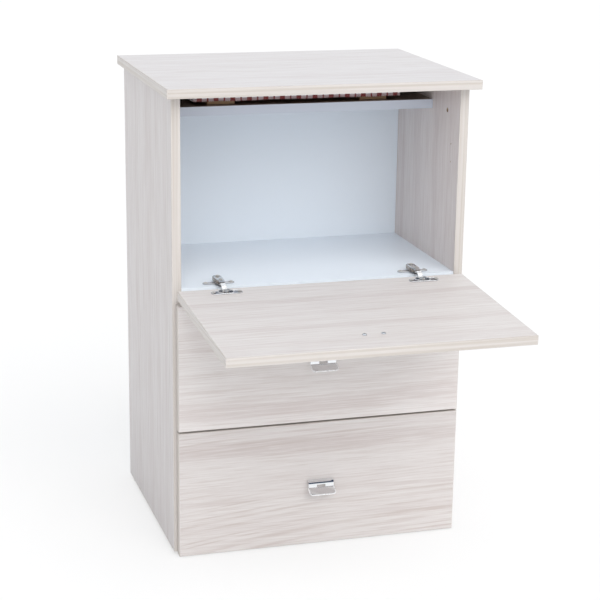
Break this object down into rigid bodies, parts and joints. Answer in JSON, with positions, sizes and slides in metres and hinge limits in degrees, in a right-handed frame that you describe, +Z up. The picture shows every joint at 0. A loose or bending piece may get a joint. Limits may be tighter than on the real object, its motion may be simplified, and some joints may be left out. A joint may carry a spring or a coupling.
{
  "type": "bedside cabinet",
  "caption": "Board cabinet with an overhanging top, a drop flap on concealed hinges that opens as a table, drawers below and a padded board stowed under the top.",
  "frame": {"origin": "on the floor, midway between the sides and midway between the open flap's free edge and the top's rear edge, with the flap open and the drawers shut", "axes": "+Z up, the front with the flap and drawers faces -Y, +X to the right seen from behind the front (the cabinet's right as pictured)"},
  "size_m": [0.55, 0.749, 0.83],
  "materials": {
    "laminate": "satin bleached-ash laminate on particle board",
    "edge_band": "satin edge banding",
    "white_board": "satin white melamine on particle board",
    "nickel": "bright nickel plating",
    "chrome": "polished chrome",
    "zinc_steel": "bright zinc plating",
    "white_plastic": "moulded",
    "beech": "bare beech",
    "cotton": "printed cotton over padding",
    "thin_board": "lacquered hardboard"
  },
  "bodies": {
    "carcass": {"top_panel": "laminate", "carcass_edge_bands": "edge_band", "left_side": "laminate", "right_side": "laminate", "compartment_floor": "white_board", "stow_shelf": "white_board", "bottom_panel": "white_board", "back_panel": "white_board", "rear_rail": "laminate", "glides": "white_plastic", "dowels": "beech", "cam_locks": "zinc_steel", "hinge_plates": "nickel", "hinge_plate_screws": "zinc_steel", "hinge_arm_left": "nickel", "hinge_arm_right": "nickel", "hinge_arm_screws": "zinc_steel", "hinge_pins": "zinc_steel", "slide_channels": "zinc_steel", "slide_channel_screws": "zinc_steel"},
    "flap": {"flap_panel": "laminate", "flap_edge_bands": "edge_band", "flap_handle": "chrome", "flap_handle_screws": "zinc_steel", "hinge_cups": "nickel", "hinge_cup_screws": "zinc_steel"},
    "hinge_links": {"hinge_link_left": "nickel", "hinge_link_right": "nickel"},
    "lower_drawer": {"lower_front": "laminate", "lower_edge_bands": "edge_band", "lower_left_side": "white_board", "lower_right_side": "white_board", "lower_back": "white_board", "lower_bottom": "thin_board", "lower_cams": "zinc_steel", "lower_corner_screws": "zinc_steel", "lower_handle": "chrome", "lower_handle_screws": "zinc_steel", "lower_slide_rails": "zinc_steel", "lower_rail_screws": "zinc_steel"},
    "upper_drawer": {"upper_front": "laminate", "upper_edge_bands": "edge_band", "upper_left_side": "white_board", "upper_right_side": "white_board", "upper_back": "white_board", "upper_bottom": "thin_board", "upper_cams": "zinc_steel", "upper_corner_screws": "zinc_steel", "upper_handle": "chrome", "upper_handle_screws": "zinc_steel", "upper_slide_rails": "zinc_steel", "upper_rail_screws": "zinc_steel"},
    "lower_cages": {"ball_cages_lower": "white_plastic", "balls_lower": "zinc_steel"},
    "upper_cages": {"ball_cages_upper": "white_plastic", "balls_upper": "zinc_steel"},
    "stow_board": {"stow_board_core": "beech", "stow_board_cover": "cotton", "stow_board_battens": "beech"}
  },
  "joints": [
    {"name": "flap_hinge", "type": "hinge", "parent": "carcass", "child": "flap", "pos_m": [0, -0.04359, 0.47236], "axis": [1, 0, 0], "range_deg": [-93, 0]},
    {"name": "hinge_link_turn", "type": "hinge", "parent": "carcass", "child": "hinge_links", "pos_m": [0, -0.037, 0.4935], "axis": [1, 0, 0], "range_deg": [0, 85.1]},
    {"name": "lower_drawer_slide", "type": "slide", "parent": "carcass", "child": "lower_drawer", "axis": [0, -1, 0], "range_m": [0, 0.17]},
    {"name": "lower_cage_slide", "type": "slide", "parent": "carcass", "child": "lower_cages", "axis": [0, -1, 0], "range_m": [0, 0.0855]},
    {"name": "upper_drawer_slide", "type": "slide", "parent": "carcass", "child": "upper_drawer", "axis": [0, -1, 0], "range_m": [0, 0.17]},
    {"name": "upper_cage_slide", "type": "slide", "parent": "carcass", "child": "upper_cages", "axis": [0, -1, 0], "range_m": [0, 0.0855]},
    {"name": "stow_board_slide", "type": "slide", "parent": "carcass", "child": "stow_board", "axis": [0, -1, 0], "range_m": [0, 0.14]}
  ],
  "couplings": [
    {"joint": "hinge_link_turn", "follows": "flap_hinge", "ratio": -0.914},
    {"joint": "lower_cage_slide", "follows": "lower_drawer_slide", "ratio": 0.5},
    {"joint": "upper_cage_slide", "follows": "upper_drawer_slide", "ratio": 0.5}
  ]
}
